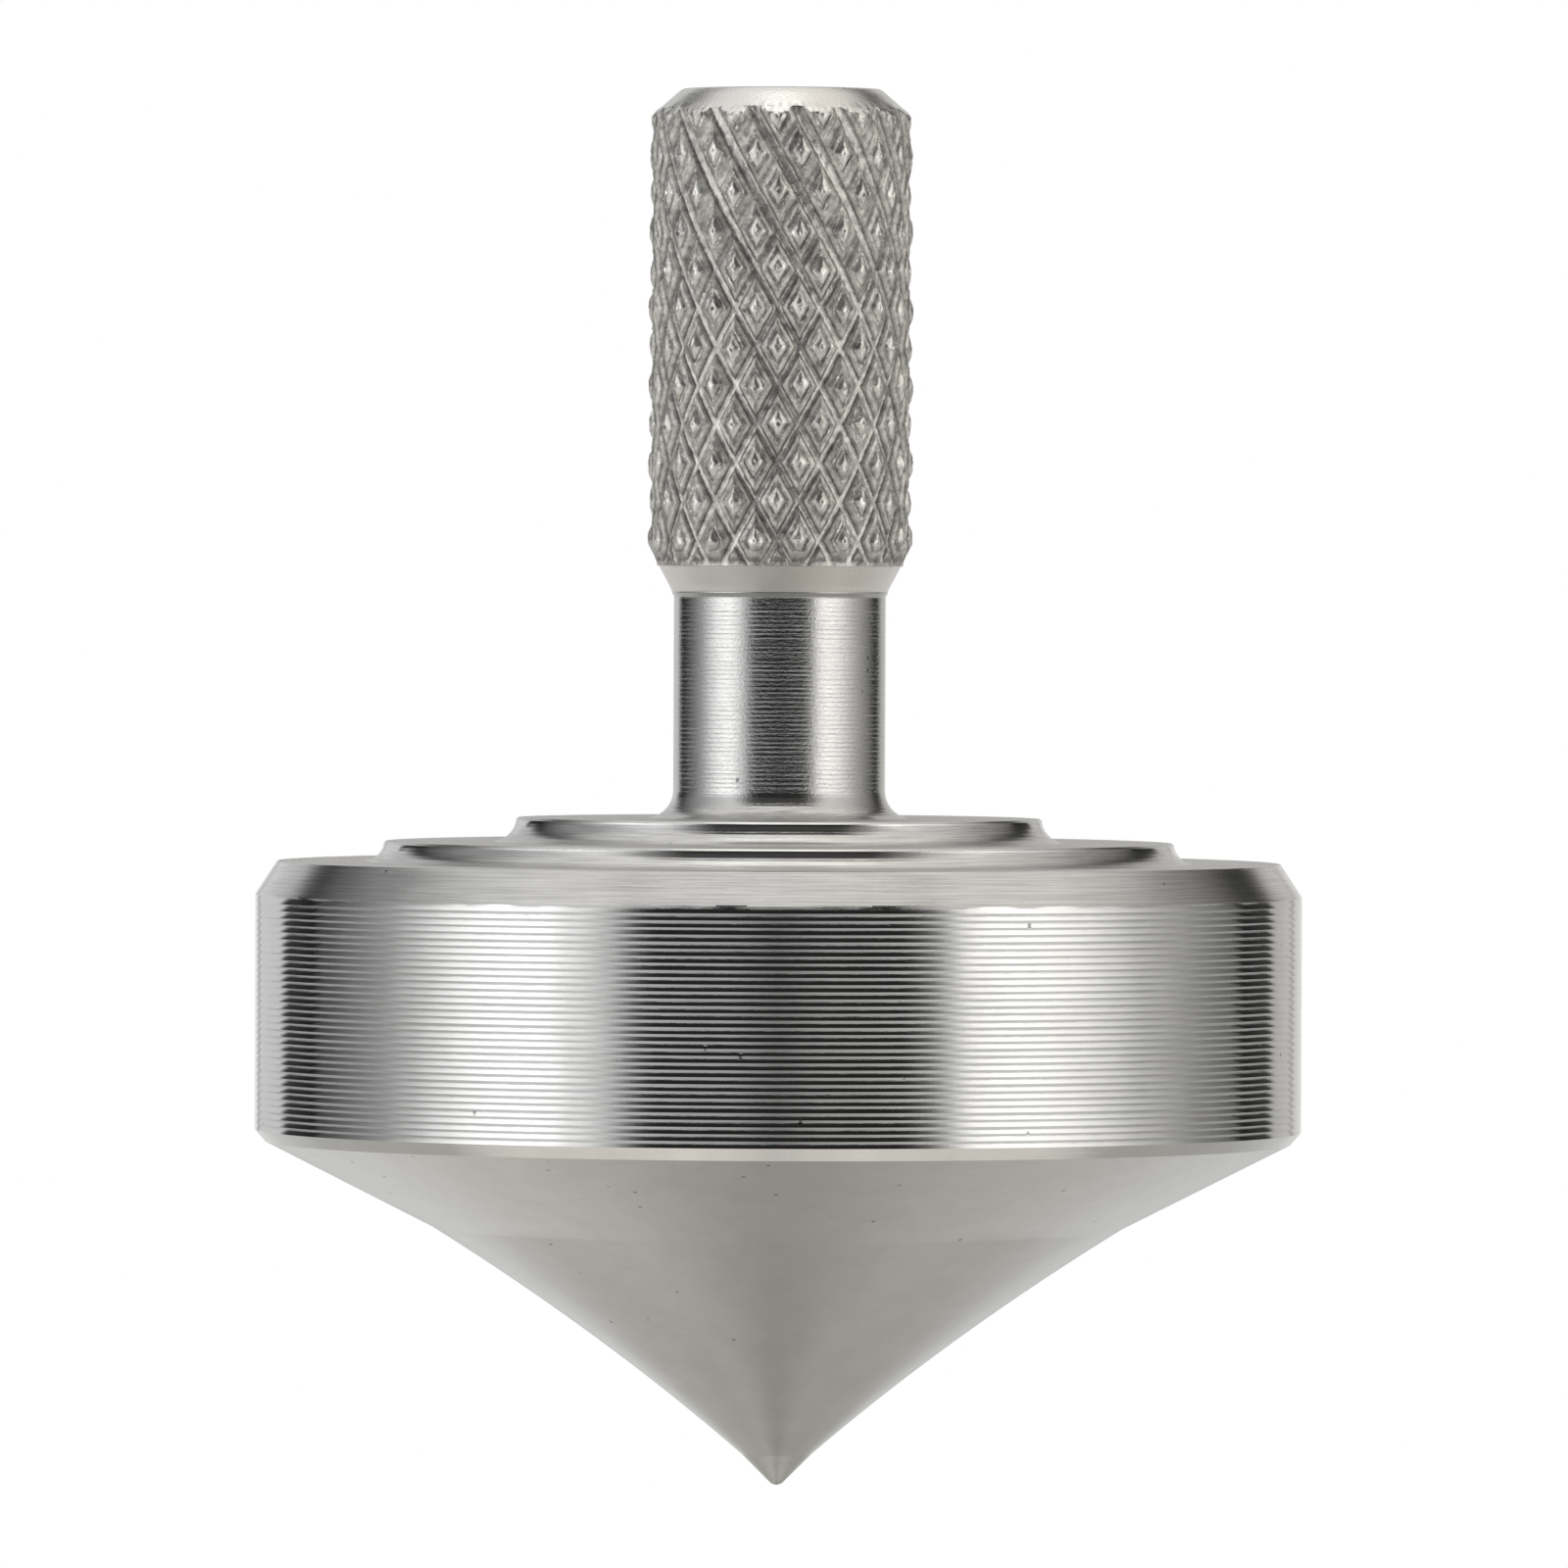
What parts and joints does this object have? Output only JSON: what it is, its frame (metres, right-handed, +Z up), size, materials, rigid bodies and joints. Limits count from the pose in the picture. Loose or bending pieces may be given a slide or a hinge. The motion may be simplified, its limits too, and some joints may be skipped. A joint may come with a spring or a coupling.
{
  "type": "plumb bob",
  "caption": "Small turned steel plumb bob: thick rimmed disc with a hollow-sided cone below, stepped top, plain neck and a knurled head that screws off for the cord.",
  "frame": {"origin": "mouth of the cord hole, in the middle of the head's flat top; the bob hangs below it", "axes": "+Z up along the bob's axis, from the point to the head; the bob is round, so +X and +Y have no meaning of their own"},
  "size_m": [0.03, 0.03, 0.04],
  "materials": {
    "turned_steel": "turned stainless steel, coarse feed lines on the rim, satin on the cone",
    "point_steel": "hardened and ground steel",
    "stud_steel": "plain stainless steel screw",
    "knurled_steel": "diamond-knurled stainless steel, matt in the grooves"
  },
  "bodies": {
    "body": {"body": "turned_steel", "point": "point_steel"},
    "stud": {"neck_stud": "stud_steel"},
    "head": {"knurled_head": "knurled_steel"}
  },
  "joints": [
    {"name": "head_turn", "type": "hinge", "parent": "body", "child": "stud", "pos_m": [0, 0, -0.0144], "axis": [0, 0, 1], "range_deg": [0, 2880]},
    {"name": "head_rise", "type": "slide", "parent": "stud", "child": "head", "axis": [0, 0, 1], "range_m": [0, 0.0056]}
  ],
  "couplings": [
    {"joint": "head_turn", "follows": "head_rise", "rad_per_m": 8976}
  ]
}
